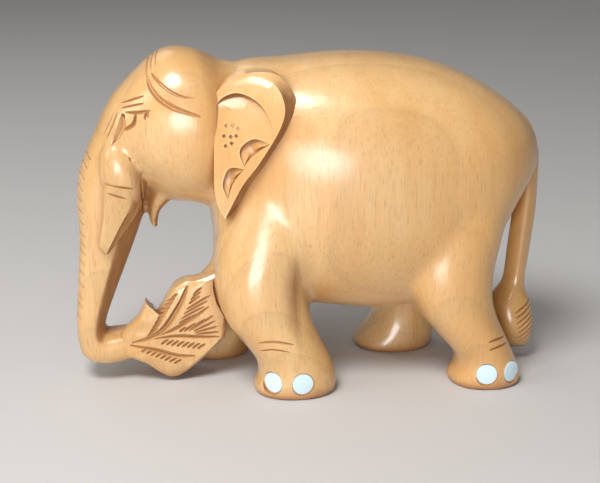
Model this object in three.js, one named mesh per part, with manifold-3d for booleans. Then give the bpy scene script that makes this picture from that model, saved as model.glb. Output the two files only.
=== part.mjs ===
// A walking elephant carved from one block of pale wood, with a leaf held in its trunk and round
// inlaid toenails. It faces -X, its left side faces -Y, and it stands on Z = 0.

import * as THREE from 'three';
import { mergeVertices } from 'three/addons/utils/BufferGeometryUtils.js';
import Module from 'manifold-3d';

const wasm = await Module();
wasm.setup();

// Driving sizes, in millimetres.
const figureLength = 150;
const nailDiameter = 6.6;
const nailThickness = 1.6;
const nailProud = 0.15;
const nailClearance = 0.3;

// The carving's places are drawn in millimetres on a figure 150 mm long, and keep their proportions.
const unit = figureLength / 150;
const axis = { x: new THREE.Vector3(1, 0, 0), y: new THREE.Vector3(0, 1, 0), z: new THREE.Vector3(0, 0, 1) };

// A smooth curve through one column of a station table.
function column(rows, key, fallback) {
	const curve = new THREE.SplineCurve(rows.map((row, i) => new THREE.Vector2(i, row[key] ?? fallback)));
	return (t) => curve.getPoint(t).y;
}

// A ring of points round a rounded box section. A pinch narrows it towards the end of wayA.
function ringOf({ centre, wayA, wayB, halfA, halfB, power, pinch = 0 }, sides) {
	const points = [];
	for (let s = 0; s < sides; s++) {
		const angle = (2 * Math.PI * s) / sides;
		const [c, n] = [Math.cos(angle), Math.sin(angle)];
		const a = Math.sign(c) * Math.abs(c) ** (2 / power);
		const b = Math.sign(n) * Math.abs(n) ** (2 / power) * (1 - pinch * Math.max(0, a));
		const point = centre.clone().addScaledVector(wayA, a * halfA).addScaledVector(wayB, b * halfB);
		points.push(point.multiplyScalar(unit));
	}
	return points;
}

// A closed skin over a row of rings, with a fan over each end.
function skinOver(rings) {
	const sides = rings[0].length;
	const points = rings.flat();
	const index = [];
	for (let start = 0; start + sides < points.length; start += sides) {
		for (let s = 0; s < sides; s++) {
			const [a, b] = [start + s, start + (s + 1) % sides];
			index.push(a, b, a + sides, b, b + sides, a + sides);
		}
	}
	for (const [ring, first] of [[rings[0], 0], [rings.at(-1), points.length - sides]]) {
		const middle = ring.reduce((sum, point) => sum.add(point), new THREE.Vector3()).divideScalar(sides);
		for (let s = 0; s < sides; s++) {
			const [a, b] = [first + s, first + (s + 1) % sides];
			index.push(...(first ? [a, b, points.length] : [b, a, points.length]));
		}
		points.push(middle);
	}
	const geometry = new THREE.BufferGeometry().setFromPoints(points);
	geometry.setIndex(index);
	return solidOf(geometry);
}

// A closed surface as a solid, with its faces turned to point outwards.
function solidOf(geometry) {
	const bare = new THREE.BufferGeometry();
	bare.setAttribute('position', geometry.getAttribute('position'));
	bare.setIndex(geometry.index);
	const merged = mergeVertices(bare, 1e-4);
	const position = merged.getAttribute('position');
	const triVerts = [];
	let volume = 0;
	const corner = [0, 1, 2].map(() => new THREE.Vector3());
	for (let i = 0; i < merged.index.count; i += 3) {
		const [a, b, c] = [0, 1, 2].map((n) => merged.index.getX(i + n));
		if (a === b || b === c || c === a) continue;
		triVerts.push(a, b, c);
		[a, b, c].forEach((vertex, n) => corner[n].fromBufferAttribute(position, vertex));
		volume += corner[0].dot(corner[1].cross(corner[2]));
	}
	if (volume < 0) triVerts.reverse();
	return new wasm.Manifold(new wasm.Mesh({
		numProp: 3,
		vertProperties: new Float32Array(position.array),
		triVerts: new Uint32Array(triVerts),
	}));
}

function geometryOf(solid) {
	const mesh = solid.getMesh();
	const geometry = new THREE.BufferGeometry();
	geometry.setAttribute('position', new THREE.BufferAttribute(mesh.vertProperties, 3));
	geometry.setIndex(new THREE.BufferAttribute(mesh.triVerts, 1));
	return geometry;
}

// A form along X. Each station gives its top, bottom and half width.
function alongX(rows, rings, sides) {
	const [x, top, bottom, half] = ['x', 'top', 'bottom', 'half'].map((key) => column(rows, key));
	const power = column(rows, 'power', 2.2);
	return skinOver(Array.from({ length: rings }, (_, i) => {
		const t = i / (rings - 1);
		const centre = new THREE.Vector3(x(t), 0, (top(t) + bottom(t)) / 2);
		const halfA = (top(t) - bottom(t)) / 2;
		return ringOf({ centre, wayA: axis.z, wayB: axis.y, halfA, halfB: half(t), power: power(t) }, sides);
	}));
}

// A form down Z on one side. Each station gives its front, back, distance out and half width.
function alongZ(rows, side, rings, sides) {
	const [z, front, back, out, half] = ['z', 'front', 'back', 'out', 'half'].map((key) => column(rows, key));
	const power = column(rows, 'power', 2.2);
	return skinOver(Array.from({ length: rings }, (_, i) => {
		const t = i / (rings - 1);
		const centre = new THREE.Vector3((front(t) + back(t)) / 2, side * out(t), z(t));
		const halfA = (back(t) - front(t)) / 2;
		return ringOf({ centre, wayA: axis.x, wayB: axis.y, halfA, halfB: half(t), power: power(t) }, sides);
	}));
}

// A form that bends in the middle plane. Each station gives a point on one edge, a point on the
// other and a half width.
function bent(rows, rings, sides) {
	const [x1, z1, x2, z2, half] = ['x1', 'z1', 'x2', 'z2', 'half'].map((key) => column(rows, key));
	const [power, pinch] = [column(rows, 'power', 2.4), column(rows, 'pinch', 0)];
	return skinOver(Array.from({ length: rings }, (_, i) => {
		const t = i / (rings - 1);
		const centre = new THREE.Vector3((x1(t) + x2(t)) / 2, 0, (z1(t) + z2(t)) / 2);
		const wayA = new THREE.Vector3(x2(t) - x1(t), 0, z2(t) - z1(t));
		const halfA = wayA.length() / 2;
		wayA.normalize();
		const shape = { centre, wayA, wayB: axis.y, halfA, halfB: half(t), power: power(t), pinch: pinch(t) };
		return ringOf(shape, sides);
	}));
}

const body = alongX([
	{ x: -32, top: 88, bottom: 62, half: 8 },
	{ x: -30.2, top: 96.4, bottom: 44, half: 15 },
	{ x: -21, top: 101.2, bottom: 29, half: 21 },
	{ x: -8, top: 102, bottom: 25, half: 26.4 },
	{ x: 8, top: 103.2, bottom: 22.6, half: 29.6 },
	{ x: 22, top: 102.8, bottom: 21.4, half: 30.6 },
	{ x: 36, top: 100.6, bottom: 23.6, half: 30 },
	{ x: 48, top: 96.4, bottom: 31, half: 27.8 },
	{ x: 58, top: 90.8, bottom: 42, half: 23.8 },
	{ x: 65.5, top: 85, bottom: 54, half: 17.6 },
	{ x: 71, top: 78, bottom: 62, half: 10 },
	{ x: 73.6, top: 72, bottom: 66, half: 4 },
].map((row) => ({ power: 2.5, ...row })), 19, 18);

const head = alongX([
	{ x: -10, top: 92, bottom: 66, half: 13 },
	{ x: -20, top: 99.4, bottom: 64, half: 13 },
	{ x: -28, top: 101.6, bottom: 60, half: 15.2 },
	{ x: -32, top: 103.4, bottom: 58, half: 18 },
	{ x: -36, top: 105.2, bottom: 57.8, half: 19.2 },
	{ x: -42, top: 106.2, bottom: 58.2, half: 18.8 },
	{ x: -47, top: 104.8, bottom: 60, half: 17.6 },
	{ x: -52, top: 101, bottom: 62, half: 16 },
	{ x: -57, top: 96, bottom: 64, half: 14.2 },
	{ x: -62, top: 90.4, bottom: 67, half: 11.6 },
	{ x: -66, top: 83, bottom: 72, half: 7 },
], 12, 16);

const trunk = bent([
	{ x1: -57, z1: 94, x2: -44, z2: 76, half: 11, pinch: 0 },
	{ x1: -64.6, z1: 84.6, x2: -49, z2: 67, half: 11, pinch: 0 },
	{ x1: -71.2, z1: 71, x2: -50, z2: 61.4, half: 10.4, power: 2.8, pinch: 0.2 },
	{ x1: -73.2, z1: 60, x2: -53.4, z2: 53, half: 9.8, power: 3, pinch: 0.5 },
	{ x1: -73, z1: 46, x2: -57.8, z2: 41.7, half: 9, power: 3, pinch: 0.5 },
	{ x1: -74.1, z1: 31, x2: -63, z2: 28.5, half: 8.3, power: 3, pinch: 0.5 },
	{ x1: -75, z1: 18, x2: -66, z2: 19.5, half: 8, power: 3, pinch: 0.4 },
	{ x1: -73.4, z1: 8.4, x2: -65.4, z2: 16.3, half: 8, power: 2.8, pinch: 0.2 },
	{ x1: -66.5, z1: 5, x2: -62.2, z2: 15.9, half: 7.8, power: 2.6 },
	{ x1: -55, z1: 7, x2: -55.5, z2: 16.6, half: 7, power: 2.6 },
], 18, 12);

// The pointed lower jaw, which hangs between the cheeks.
const jaw = bent([
	{ x1: -47, z1: 70, x2: -36, z2: 66, half: 10 },
	{ x1: -52.6, z1: 62, x2: -42, z2: 58, half: 7.6 },
	{ x1: -52, z1: 55, x2: -46.6, z2: 54.4, half: 5.4 },
	{ x1: -51, z1: 50.6, x2: -48.3, z2: 49.4, half: 3.4 },
], 6, 10);

// The throat, which runs from under the head into the chest.
const chest = alongX([
	{ x: -44, top: 72, bottom: 57.8, half: 8 },
	{ x: -38, top: 76, bottom: 57.4, half: 12 },
	{ x: -33, top: 80, bottom: 56, half: 15 },
	{ x: -30.6, top: 82, bottom: 52, half: 15 },
	{ x: -29.6, top: 84, bottom: 40, half: 16 },
	{ x: -22, top: 84, bottom: 30, half: 20 },
], 7, 16);

const nearFrontLeg = alongZ([
	{ z: 70, front: -25, back: 4, out: 8, half: 14 },
	{ z: 50, front: -30.4, back: 3, out: 12, half: 14.6 },
	{ z: 36, front: -32.4, back: -3.4, out: 15, half: 13.8 },
	{ z: 24, front: -30.6, back: -2.2, out: 17, half: 12.8 },
	{ z: 16.5, front: -24, back: 0.6, out: 18.2, half: 12 },
	{ z: 11, front: -20, back: 3.4, out: 18.8, half: 11.4 },
	{ z: 6, front: -19, back: 5.2, out: 19, half: 11.6 },
	{ z: 2, front: -20.6, back: 5.6, out: 19, half: 12 },
	{ z: -2, front: -19.6, back: 4.6, out: 19, half: 11 },
], -1, 10, 13);

const farFrontLeg = alongZ([
	{ z: 70, front: -22, back: 4, out: 8, half: 14 },
	{ z: 50, front: -27.4, back: 2, out: 12, half: 14.6 },
	{ z: 36, front: -29, back: -4, out: 15, half: 13.8 },
	{ z: 24, front: -29.4, back: -8.4, out: 17, half: 12.8 },
	{ z: 16.5, front: -31, back: -11.4, out: 18.4, half: 11.6 },
	{ z: 11, front: -34.8, back: -15, out: 19.2, half: 10.8 },
	{ z: 6, front: -38.6, back: -17, out: 19.6, half: 11 },
	{ z: 2, front: -41.6, back: -17.6, out: 19.6, half: 11.2 },
	{ z: -2, front: -40.6, back: -18.6, out: 19.6, half: 10.4 },
], 1, 10, 13);

const nearHindLeg = alongZ([
	{ z: 76, front: 40, back: 62, out: 8, half: 12 },
	{ z: 54, front: 31, back: 60.4, out: 13.4, half: 14.6 },
	{ z: 36, front: 27, back: 56, out: 17, half: 13.4 },
	{ z: 25, front: 31, back: 56, out: 18.4, half: 12.4 },
	{ z: 15, front: 39.2, back: 60, out: 19, half: 11.4 },
	{ z: 10, front: 43.4, back: 62.4, out: 19, half: 11.2 },
	{ z: 6, front: 44.3, back: 64, out: 19, half: 11.6 },
	{ z: 2, front: 42, back: 65.2, out: 19, half: 12 },
	{ z: -2, front: 43, back: 64.2, out: 19, half: 11 },
], -1, 10, 13);

const farHindLeg = alongZ([
	{ z: 76, front: 40, back: 62, out: 8, half: 12 },
	{ z: 54, front: 30, back: 59, out: 13.4, half: 14.6 },
	{ z: 36, front: 26, back: 54, out: 17, half: 13.4 },
	{ z: 25, front: 25.4, back: 49.6, out: 18.4, half: 12.4 },
	{ z: 15, front: 25.6, back: 46.8, out: 19, half: 11.4 },
	{ z: 10, front: 24, back: 45.6, out: 19, half: 11.2 },
	{ z: 6, front: 21.4, back: 45.4, out: 19, half: 11.6 },
	{ z: 2, front: 18, back: 45.2, out: 19, half: 12 },
	{ z: -2, front: 19.4, back: 44.2, out: 19, half: 11 },
], 1, 10, 13);

const tail = bent([
	{ x1: 58, z1: 82, x2: 64, z2: 86.6, half: 3 },
	{ x1: 63.4, z1: 76, x2: 71, z2: 80, half: 3.6 },
	{ x1: 66.3, z1: 70, x2: 74.6, z2: 71, half: 4, power: 1.6 },
	{ x1: 67, z1: 60, x2: 74.9, z2: 60.5, half: 4.2, power: 1.5 },
	{ x1: 66.8, z1: 50, x2: 74.6, z2: 50, half: 4.2, power: 1.5 },
	{ x1: 65.6, z1: 38, x2: 73.2, z2: 37, half: 4.2, power: 1.5 },
	{ x1: 64.4, z1: 27, x2: 72, z2: 26, half: 4.6, power: 1.6 },
	{ x1: 60.4, z1: 20.4, x2: 73.8, z2: 19.6, half: 7.4, power: 2 },
	{ x1: 59.5, z1: 13, x2: 75, z2: 12.6, half: 9, power: 2 },
	{ x1: 61, z1: 7.5, x2: 74.6, z2: 6.5, half: 7, power: 2 },
	{ x1: 65, z1: 4.2, x2: 73.4, z2: 3.8, half: 3, power: 2 },
], 13, 8);

// Points round a closed outline of rows: a row marked as a corner stays sharp, and a smooth curve
// runs through the rows between two corners. Every value in the rows is carried along the curve.
function around(rows, steps) {
	const keys = Object.keys(rows[0]).filter((key) => key !== 'corner');
	const corners = rows.flatMap((row, i) => (row.corner ? [i] : []));
	return corners.flatMap((from, c) => {
		const to = c + 1 < corners.length ? corners[c + 1] : corners[0] + rows.length;
		const stretch = Array.from({ length: to - from + 1 }, (_, i) => rows[(from + i) % rows.length]);
		const curves = keys.map((key) => column(stretch, key, 0));
		const count = (to - from) * (to - from > 1 ? steps : 1);
		return Array.from({ length: count }, (_, i) => {
			return Object.fromEntries(keys.map((key, k) => [key, curves[k](i / count)]));
		});
	});
}

// The way out from a closed outline at one of its points, in the X and Z directions.
function outwardAt(points, i) {
	const before = points.at(i - 1);
	const after = points[(i + 1) % points.length];
	const way = new THREE.Vector2(before.z - after.z, after.x - before.x).normalize();
	const area = points.reduce((sum, p, n) => {
		const next = points[(n + 1) % points.length];
		return sum + p.x * next.z - next.x * p.z;
	}, 0);
	return area > 0 ? way.negate() : way;
}

function middleOf(points) {
	const mean = (key) => points.reduce((sum, p) => sum + p[key], 0) / points.length;
	return { x: mean('x'), z: mean('z') };
}

// A raised form on both sides of the middle plane. Its face lies as far out as faceOut says, its
// wall flares outwards as it goes down, and its root is sunk in the body.
function raised(rows, steps, faceOut, rootOut) {
	const points = around(rows, steps);
	const middle = middleOf(points);
	const levels = points.map((p, i) => {
		const way = outwardAt(points, i);
		const out = faceOut(p.x, p.z);
		const foot = { x: p.x + way.x * p.flare, z: p.z + way.y * p.flare };
		const inner = { x: (p.x + middle.x) / 2, z: (p.z + middle.z) / 2 };
		return [
			{ ...foot, out: rootOut },
			{ ...foot, out: out - Math.max(p.flare, 1) },
			{ x: p.x, z: p.z, out },
			{ ...inner, out: faceOut(inner.x, inner.z) },
		];
	});
	return [-1, 1].map((side) => skinOver([0, 1, 2, 3].map((level) => levels.map((stack) => {
		const { x, z, out } = stack[level];
		return new THREE.Vector3(x, side * out, z).multiplyScalar(unit);
	}))));
}

// The ear's face stands off the neck towards its rear edge and leans in at the top.
const earOut = (x, z) => 19.5 + 0.42 * (x + 32.6) - 0.0016 * Math.max(0, z - 78) ** 3;
const ears = raised([
	{ x: -28.9, z: 56.2, flare: 0, corner: true },
	{ x: -31.6, z: 62.7, flare: 0 },
	{ x: -31.8, z: 76, flare: 0 },
	{ x: -31.4, z: 93, flare: 0, corner: true },
	{ x: -26.6, z: 97.4, flare: 0.4 },
	{ x: -20, z: 98.8, flare: 1 },
	{ x: -13.8, z: 97, flare: 2.6 },
	{ x: -11.1, z: 91, flare: 4.2 },
	{ x: -12.7, z: 84.3, flare: 4.8 },
	{ x: -19, z: 73.6, flare: 4.4 },
	{ x: -23.6, z: 67, flare: 3.4 },
], 2, earOut, 6);

// The tusk is a blade along the trunk's side under a rounded root.
const tusks = raised([
	{ x: -64.8, z: 44, flare: 0.6, corner: true },
	{ x: -66.8, z: 46.4, flare: 0.4, corner: true },
	{ x: -65.2, z: 55, flare: 0.4 },
	{ x: -64.3, z: 65, flare: 0.6 },
	{ x: -63.4, z: 68.4, flare: 0.4, corner: true },
	{ x: -55.4, z: 69, flare: 0.4, corner: true },
	{ x: -52.4, z: 67, flare: 1, corner: true },
	{ x: -54.8, z: 61.8, flare: 2.6 },
	{ x: -59.6, z: 54.4, flare: 2.8 },
], 2, (x, z) => 12.2 + 0.06 * (z - 44), 4);

// Each tusk grows out of a rounded swelling of the cheek.
const tuskRoots = [-1, 1].map((side) => {
	const swelling = new THREE.SphereGeometry(1, 14, 10).scale(7 * unit, 5.4 * unit, 9 * unit);
	return solidOf(swelling.rotateY(-0.25).translate(-59 * unit, side * 9.8 * unit, 69.8 * unit));
});

// The leaf is a slab with a bevelled rim, drawn in a little lower on its far side.
const leafRim = around([
	{ x: -59, z: 13, corner: true },
	{ x: -55.4, z: 20 },
	{ x: -53.2, z: 26.5, corner: true },
	{ x: -49.6, z: 21.8, corner: true },
	{ x: -44.5, z: 31 },
	{ x: -37, z: 33.6 },
	{ x: -33.4, z: 37 },
	{ x: -31, z: 44, corner: true },
	{ x: -27, z: 30, corner: true },
	{ x: -28.1, z: 13.9, corner: true },
	{ x: -38, z: 4.6 },
	{ x: -45.3, z: 1 },
	{ x: -52.3, z: 5.1 },
	{ x: -61, z: 8.8, corner: true },
], 2);
const leafMiddle = { x: -43, z: 17 };
const leaf = skinOver([
	{ y: -9.2, size: 0.55, drop: 0 },
	{ y: -8.4, size: 0.9, drop: 0 },
	{ y: -5, size: 1, drop: 0 },
	{ y: 2, size: 0.97, drop: 1 },
	{ y: 7, size: 0.86, drop: 3 },
	{ y: 8.4, size: 0.5, drop: 3 },
].map(({ y, size, drop }) => leafRim.map((p) => {
	const x = leafMiddle.x + (p.x - leafMiddle.x) * size;
	const z = leafMiddle.z + (p.z - leafMiddle.z) * size - drop;
	return new THREE.Vector3(x, y, Math.max(z, 1)).multiplyScalar(unit);
})));

const legs = [nearFrontLeg, farFrontLeg, nearHindLeg, farHindLeg];
const forms = [body, head, chest, jaw, trunk, ...legs, tail, leaf, ...ears, ...tusks, ...tuskRoots];
let elephant = forms.reduce((whole, form) => whole.add(form));

// The soles are sawn off flat.
const waste = 2 * figureLength;
const ground = new THREE.BoxGeometry(waste, waste, waste).translate(0, 0, -waste / 2);
elephant = elephant.subtract(solidOf(ground));

// Where a ray towards a target first meets the uncarved figure, and which way its surface faces.
const uncarved = new THREE.Mesh(geometryOf(elephant));
const raycaster = new THREE.Raycaster();
function surfaceTowards(target, way) {
	raycaster.set(target.clone().addScaledVector(way, -figureLength), way);
	const [hit] = raycaster.intersectObject(uncarved);
	return { point: hit.point, out: hit.face.normal.clone() };
}

function surfaceAt({ x, z }, side) {
	return surfaceTowards(new THREE.Vector3(x, 0, z).multiplyScalar(unit), new THREE.Vector3(0, -side, 0));
}

// How far a gouge's cutter stands above the surface, how much of a full sweep is left off at each
// end of its cut, and how soon the cut is at its full depth.
const cutLift = 1;
const cutEnd = 0.03;
const cutSwell = 0.6;

// The V cut of a gouge drawn over the surface. It goes in and out gently at both ends.
function gouge(spots, width, depth) {
	const lift = cutLift * unit;
	const out = spots.reduce((sum, spot) => sum.add(spot.out), new THREE.Vector3()).normalize();
	return skinOver(spots.map(({ point }, i) => {
		const sweep = cutEnd + ((1 - 2 * cutEnd) * i) / (spots.length - 1);
		const bite = Math.sin(Math.PI * sweep) ** cutSwell;
		const along = spots[Math.min(i + 1, spots.length - 1)].point.clone().sub(spots[Math.max(i - 1, 0)].point);
		const across = along.cross(out).normalize().multiplyScalar((width * unit * bite) / 2);
		const open = 1 + lift / (depth * unit * bite);
		const top = point.clone().addScaledVector(out, lift);
		return [
			top.clone().addScaledVector(across, open),
			top.clone().addScaledVector(across, -open),
			point.clone().addScaledVector(out, -depth * unit * bite),
		];
	}));
}

// A gouge along a smooth line of places on one side.
function stroke(places, width, depth, side) {
	const curve = new THREE.SplineCurve(places.map(([x, z]) => new THREE.Vector2(x, z)));
	const count = places.length + (places.length > 2 ? 0 : 1);
	const spots = Array.from({ length: count }, (_, i) => {
		const place = curve.getPoint(i / (count - 1));
		return surfaceAt({ x: place.x, z: place.y }, side);
	});
	return gouge(spots, width, depth);
}

// A hollow scooped into the ear. Each place of its edge says how deep the floor is there.
const scoopLift = 2;
function scoop(rows, side) {
	const edge = around(rows, 2);
	const ring = (outOf) => edge.map((p) => {
		const out = earOut(p.x, p.z) + outOf(p);
		return new THREE.Vector3(p.x, side * out, p.z).multiplyScalar(unit);
	});
	return skinOver([ring(() => scoopLift), ring((p) => -p.deep)]);
}

const strokes = {
	cap: { width: 1.8, depth: 1, places: [[-50.6, 98.6], [-49.6, 95.2], [-47.2, 92], [-43, 89.7], [-36, 87.4]] },
	capLine: { width: 0.9, depth: 0.5, places: [[-48.8, 98.3], [-46, 95.7], [-42.4, 93.8], [-37.8, 92.7]] },
	brow: { width: 0.9, depth: 0.6, places: [[-58.6, 90.5], [-51.9, 93.1]] },
	lowBrow: { width: 0.9, depth: 0.6, places: [[-58.6, 89.1], [-52, 91]] },
	lid: { width: 1.2, depth: 0.8, places: [[-57, 88], [-50.4, 88.8]] },
	eyeFront: { width: 1.6, depth: 0.9, places: [[-58.6, 86], [-59.4, 83], [-61.8, 78.4]] },
	eyeBack: { width: 1.4, depth: 0.8, places: [[-54.8, 87.4], [-55.8, 84.4], [-58, 83]] },
	foreStroke: { width: 0.8, depth: 0.5, places: [[-60.8, 88], [-64, 81]] },
	backStroke: { width: 0.8, depth: 0.5, places: [[-59.9, 87.6], [-63.2, 80]] },
	tuskTop: { width: 1.1, depth: 0.7, places: [[-64.4, 66.3], [-56, 64.9]] },
	tuskSecond: { width: 0.9, depth: 0.5, places: [[-63.7, 63.6], [-58.2, 61.9]] },
	midrib: { width: 2, depth: 1, places: [[-57.6, 13.4], [-50.6, 16.5], [-46.3, 19.6], [-43.1, 24.7], [-39.8, 32]] },
	upperVein: { width: 1.3, depth: 0.8, places: [[-48.2, 15.7], [-43.6, 17.4], [-39.3, 20.2], [-33.6, 24.6]] },
	middleVein: { width: 1.1, depth: 0.7, places: [[-51, 14.9], [-43.7, 15.3], [-36.7, 14.8], [-31, 14]] },
	lowerVein: { width: 1.3, depth: 0.8, places: [[-58, 12], [-53, 11.6], [-48, 10.1], [-38.4, 7.4]] },
};
const footLines = {
	width: 1,
	depth: 0.6,
	front: [[[-19.4, 18.3], [-15, 19], [-9.2, 18.2]], [[-18.6, 15.9], [-15, 16.6], [-10.2, 15.8]]],
	hind: [[[51.8, 15.9], [55, 16.4], [58, 16]], [[52.2, 13.3], [55.5, 14], [58.6, 13.8]]],
};
// How far each right foot stands ahead of the left one.
const stride = { front: 21.6, hind: 20.6 };
// The wrinkles run across the front of the trunk and droop on both sides.
const wrinkles = { top: 74.8, pitch: 3.6, count: 13, halfWidth: 6.8, droop: 0.03, width: 1.2, depth: 0.8 };
// The hairs are cut slanting into the tail's tuft.
const hairs = { top: 19.4, pitch: 2.6, count: 5, from: 68.6, to: 73.4, drop: 2.2, width: 1.1, depth: 0.7 };

const cuts = [];
for (const side of [-1, 1]) {
	for (const { width, depth, places } of Object.values(strokes)) cuts.push(stroke(places, width, depth, side));
	cuts.push(scoop([
		{ x: -30.4, z: 90.6, deep: 0.4, corner: true },
		{ x: -27.6, z: 93, deep: 1.6 },
		{ x: -23.6, z: 93.6, deep: 2 },
		{ x: -18.4, z: 91, deep: 1.6 },
		{ x: -15.4, z: 86, deep: 0.9 },
		{ x: -14.6, z: 81.4, deep: 0.2, corner: true },
	], side));
	cuts.push(scoop([
		{ x: -23.2, z: 72.8, deep: 0.2, corner: true },
		{ x: -24.4, z: 77, deep: 1.4 },
		{ x: -21.6, z: 80.4, deep: 1.8 },
		{ x: -18.4, z: 80.9, deep: 1.4 },
		{ x: -15.6, z: 79.8, deep: 0.2, corner: true },
	], side));
	cuts.push(scoop([
		{ x: -28, z: 62.4, deep: 0.2, corner: true },
		{ x: -29.2, z: 68.4, deep: 1.4 },
		{ x: -27.4, z: 71.8, deep: 1.8 },
		{ x: -25.2, z: 72.4, deep: 1.4 },
		{ x: -23.4, z: 71.8, deep: 0.2, corner: true },
	], side));
}

for (let i = 0; i < wrinkles.count; i++) {
	const spots = [-1, -0.6, 0, 0.6, 1].map((share) => {
		const y = share * wrinkles.halfWidth;
		const z = wrinkles.top - wrinkles.pitch * i - wrinkles.droop * y * y;
		return surfaceTowards(new THREE.Vector3(0, y, z).multiplyScalar(unit), axis.x);
	});
	cuts.push(gouge(spots, wrinkles.width, wrinkles.depth));
}

for (const pair of ['front', 'hind']) {
	for (const places of footLines[pair]) {
		const ahead = places.map(([x, z]) => [x - stride[pair], z]);
		cuts.push(stroke(places, footLines.width, footLines.depth, -1));
		cuts.push(stroke(ahead, footLines.width, footLines.depth, 1));
	}
}

for (let i = 0; i < hairs.count; i++) {
	const z = hairs.top - hairs.pitch * i;
	const places = [[hairs.from, z - hairs.drop], [hairs.to, z]];
	for (const side of [-1, 1]) cuts.push(stroke(places, hairs.width, hairs.depth, side));
}

// Each toenail is a disc let into a small flat on the foot's outer side. The flat is cut this deep
// and reaches this far past the disc, and both cutters reach this far out of the foot.
const nailHeight = 5.2 * unit;
const nailFlat = 0.5;
const nailRim = 1.2;
const cutterReach = 6;
const nailSegments = 14;
// The middle of each foot, and the way each of its nails looks, in radians from straight outwards.
const feet = {
	left_front: { x: -7.5, y: -19, turns: [-0.75, 0.1] },
	left_hind: { x: 53.6, y: -19, turns: [-0.16, 0.62] },
	right_front: { x: -29.6, y: 19.6, turns: [-0.75, 0.1] },
	right_hind: { x: 31.6, y: 19, turns: [-0.16, 0.62] },
};

// A cylinder whose axis runs along a way, between two distances from a point.
function plug(point, way, radius, from, to) {
	const barrel = new THREE.CylinderGeometry(radius, radius, to - from, nailSegments);
	barrel.translate(0, (from + to) / 2, 0);
	barrel.applyQuaternion(new THREE.Quaternion().setFromUnitVectors(axis.y, way));
	return barrel.translate(point.x, point.y, point.z);
}

const nails = [];
for (const [foot, { x, y, turns }] of Object.entries(feet)) {
	turns.forEach((turn, i) => {
		const way = new THREE.Vector3(Math.sin(turn), Math.sign(y) * Math.cos(turn), 0);
		const target = new THREE.Vector3(x * unit, y * unit, nailHeight);
		const { point } = surfaceTowards(target, way.clone().negate());
		const face = nailProud - nailFlat;
		const radius = nailDiameter / 2;
		cuts.push(solidOf(plug(point, way, radius + nailRim, -nailFlat, cutterReach)));
		const back = face - nailThickness;
		cuts.push(solidOf(plug(point, way, radius + nailClearance, back - nailClearance, cutterReach)));
		nails.push({ name: `${foot}_toenail_${i + 1}`, geometry: plug(point, way, radius, back, face) });
	});
}

elephant = cuts.reduce((whole, cut) => whole.subtract(cut), elephant);

const wood = new THREE.MeshStandardMaterial({ color: 0xd9a763, roughness: 0.42, metalness: 0 });
const inlay = new THREE.MeshStandardMaterial({ color: 0xd9f1fd, roughness: 0.3, metalness: 0 });

function named(name, geometry, material) {
	const mesh = new THREE.Mesh(geometry, material);
	mesh.name = name;
	return mesh;
}

const figure = new THREE.Group();
figure.add(named('carved_elephant', geometryOf(elephant), wood));
for (const { name, geometry } of nails) figure.add(named(name, geometry, inlay));

// The origin is under the middle of the figure.
const extent = new THREE.Box3().setFromObject(figure);
const middle = extent.getCenter(new THREE.Vector3());
figure.position.set(-middle.x, -middle.y, -extent.min.z);

export default figure;
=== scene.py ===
import math

import bpy
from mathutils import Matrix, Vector
from mathutils.bvhtree import BVHTree


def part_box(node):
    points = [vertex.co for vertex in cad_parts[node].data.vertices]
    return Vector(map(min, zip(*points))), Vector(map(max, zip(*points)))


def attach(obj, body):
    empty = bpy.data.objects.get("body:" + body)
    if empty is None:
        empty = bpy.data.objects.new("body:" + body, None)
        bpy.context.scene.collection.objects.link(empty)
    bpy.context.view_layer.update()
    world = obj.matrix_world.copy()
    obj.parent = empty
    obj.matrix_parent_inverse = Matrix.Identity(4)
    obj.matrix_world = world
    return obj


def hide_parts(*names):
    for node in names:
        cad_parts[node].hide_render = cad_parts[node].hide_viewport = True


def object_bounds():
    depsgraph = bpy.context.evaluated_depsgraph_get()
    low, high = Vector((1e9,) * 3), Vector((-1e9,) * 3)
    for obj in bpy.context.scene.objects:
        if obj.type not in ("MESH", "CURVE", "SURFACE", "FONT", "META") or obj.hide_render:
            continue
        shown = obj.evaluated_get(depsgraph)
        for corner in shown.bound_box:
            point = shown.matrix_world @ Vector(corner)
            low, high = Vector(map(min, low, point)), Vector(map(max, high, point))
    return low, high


# A wooden elephant carved from one block, with its leaf, ears and tusks, and round inlaid toenails.
# It faces -X, its left side faces -Y. The carving's places are millimetres on a figure 150 mm long.

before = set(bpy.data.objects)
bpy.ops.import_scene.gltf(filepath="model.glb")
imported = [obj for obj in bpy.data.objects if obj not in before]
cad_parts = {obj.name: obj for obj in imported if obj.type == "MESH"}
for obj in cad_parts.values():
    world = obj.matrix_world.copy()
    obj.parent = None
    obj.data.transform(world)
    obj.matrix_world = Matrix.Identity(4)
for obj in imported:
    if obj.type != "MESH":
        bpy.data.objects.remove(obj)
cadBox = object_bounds()
mm = (cadBox[1].x - cadBox[0].x) / 150
xAxis, yAxis, zAxis = Vector((1, 0, 0)), Vector((0, 1, 0)), Vector((0, 0, 1))


# Selecting, joining and modifiers

def pick(*pieces):
    bpy.ops.object.select_all(action="DESELECT")
    for piece in pieces:
        piece.select_set(True)
    bpy.context.view_layer.objects.active = pieces[0]


def joined(pieces, name):
    pick(*pieces)
    if len(pieces) > 1:
        bpy.ops.object.join()
    pieces[0].name = name
    return pieces[0]


def applied(piece, kind, **settings):
    pick(piece)
    modifier = piece.modifiers.new(kind.lower(), kind)
    for key, value in settings.items():
        setattr(modifier, key, value)
    bpy.ops.object.modifier_apply(modifier=modifier.name)


def combined(piece, other, operation):
    applied(piece, "BOOLEAN", object=other, operation=operation, solver="MANIFOLD")
    bpy.data.objects.remove(other)


# Forms: each starts as a circle, is extruded ring by ring, and each ring is then put in its place

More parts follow.
